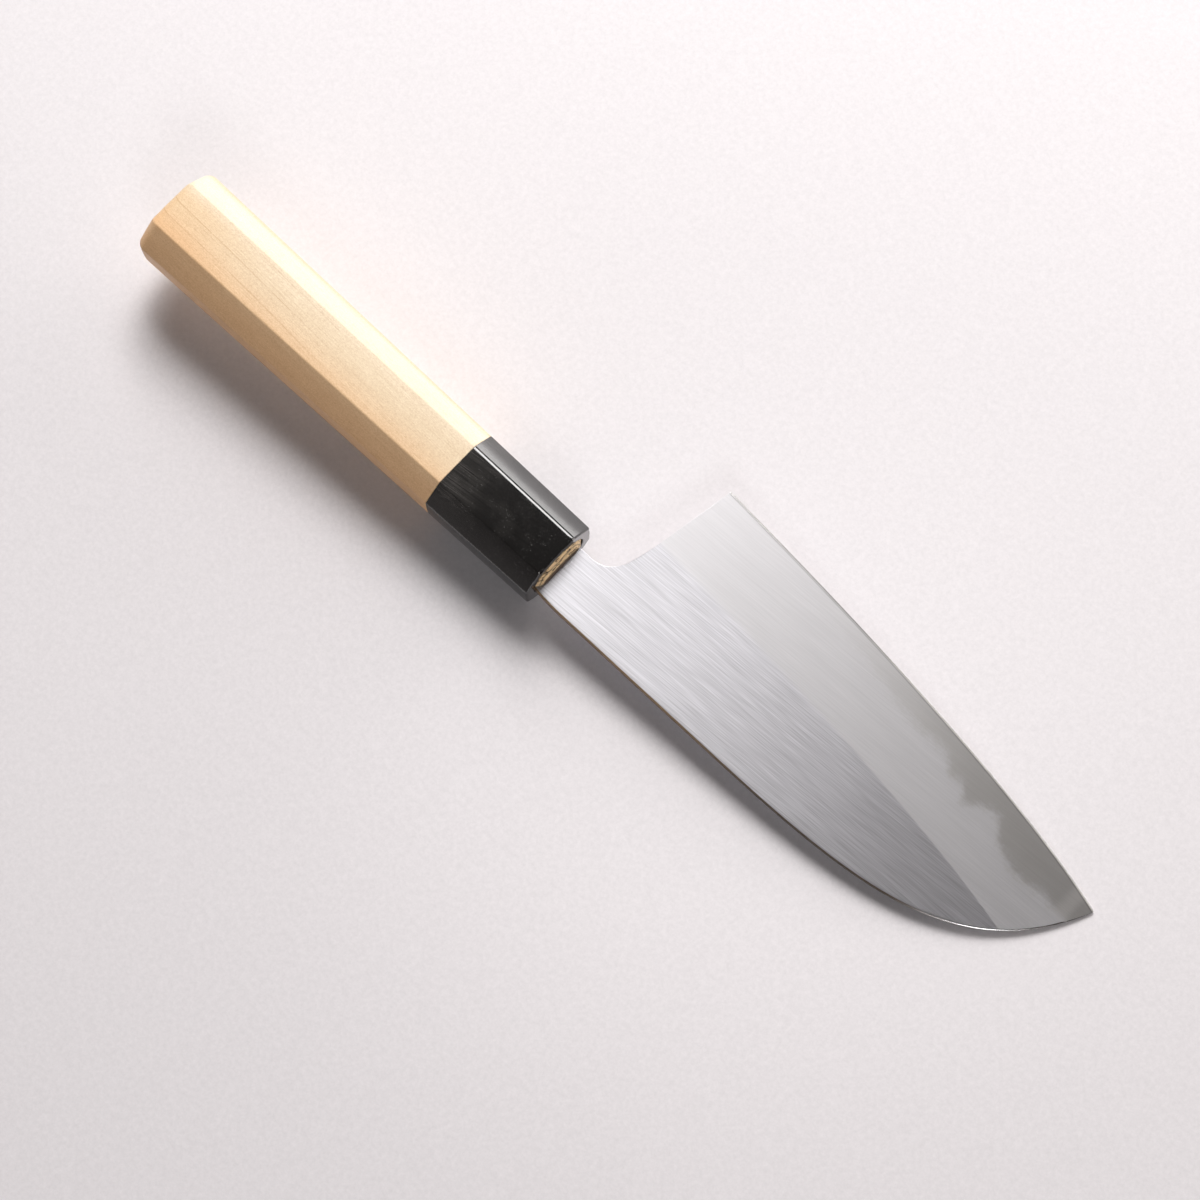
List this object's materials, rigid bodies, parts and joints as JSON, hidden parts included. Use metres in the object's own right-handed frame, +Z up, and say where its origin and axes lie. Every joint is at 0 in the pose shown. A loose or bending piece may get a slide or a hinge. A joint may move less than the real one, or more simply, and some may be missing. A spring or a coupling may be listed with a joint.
{
  "type": "santoku knife",
  "caption": "Small santoku kitchen knife with a laminated steel blade on a hidden tang, an octagonal wooden handle and a black ferrule, lying on its side.",
  "frame": {"origin": "on the table, under the middle of the resting knife's box", "axes": "+X towards the tip, +Y towards the cutting edge, +Z up, out of the blade's left face"},
  "size_m": [0.268, 0.0522, 0.0259],
  "materials": {
    "core_steel": "satin grey hard steel",
    "cladding_steel": "brushed along the blade on the flat, misty on the bevel",
    "magnolia_wood": "bare, finely sanded",
    "black_horn": "polished black"
  },
  "bodies": {
    "root": {"hard_steel_core": "core_steel", "left_cladding": "cladding_steel", "right_cladding": "cladding_steel", "wooden_handle": "magnolia_wood", "ferrule": "black_horn"}
  },
  "joints": []
}
